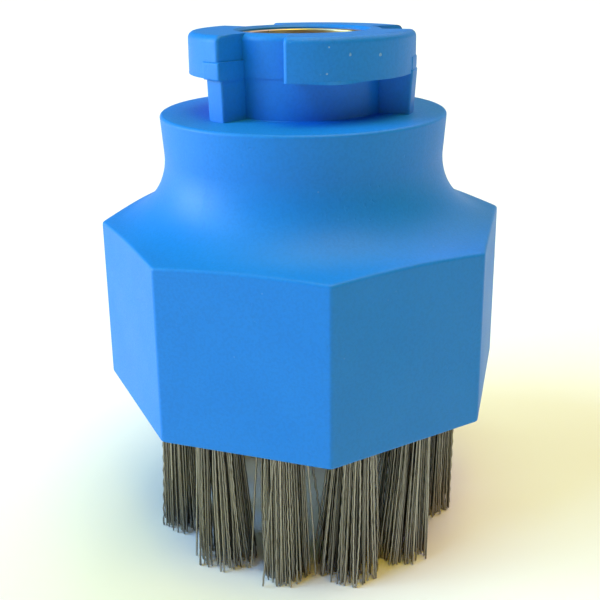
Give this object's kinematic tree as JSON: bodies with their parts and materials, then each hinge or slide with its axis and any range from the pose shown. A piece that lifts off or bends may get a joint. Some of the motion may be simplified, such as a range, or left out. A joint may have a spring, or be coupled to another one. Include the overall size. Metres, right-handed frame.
{
  "type": "round wire brush head",
  "caption": "Round brush head with an eight-sided grip, a flared neck and a hollow bayonet boss lined with brass, over a ring of crimped steel-wire tufts.",
  "frame": {"origin": "on the brush's axis, in the plane of the wire tips, on which it stands", "axes": "+Z along the axis, from the wire tips to the bayonet; two of the grip's flats face +X and -X, two face +Y and -Y"},
  "size_m": [0.0554, 0.0554, 0.0733],
  "materials": {
    "blue_plastic": "moulded, fine matt skin with a soft sheen",
    "brass": "turned, bright",
    "grey_plastic": "moulded, matt, drilled",
    "crimped_wire": "drawn and crimped wire, dull, slightly tarnished",
    "anchor_wire": "flat drawn wire"
  },
  "bodies": {
    "root": {"moulded_body": "blue_plastic", "brass_sleeve": "brass", "tuft_carrier": "grey_plastic", "wire_tuft_01": "crimped_wire", "wire_tuft_02": "crimped_wire", "wire_tuft_03": "crimped_wire", "wire_tuft_04": "crimped_wire", "wire_tuft_05": "crimped_wire", "wire_tuft_06": "crimped_wire", "wire_tuft_07": "crimped_wire", "wire_tuft_08": "crimped_wire", "wire_tuft_09": "crimped_wire", "wire_tuft_10": "crimped_wire", "wire_tuft_11": "crimped_wire", "wire_tuft_12": "crimped_wire", "wire_tuft_13": "crimped_wire", "tuft_anchor_01": "anchor_wire", "tuft_anchor_02": "anchor_wire", "tuft_anchor_03": "anchor_wire", "tuft_anchor_04": "anchor_wire", "tuft_anchor_05": "anchor_wire", "tuft_anchor_06": "anchor_wire", "tuft_anchor_07": "anchor_wire", "tuft_anchor_08": "anchor_wire", "tuft_anchor_09": "anchor_wire", "tuft_anchor_10": "anchor_wire", "tuft_anchor_11": "anchor_wire", "tuft_anchor_12": "anchor_wire", "tuft_anchor_13": "anchor_wire"}
  },
  "joints": []
}
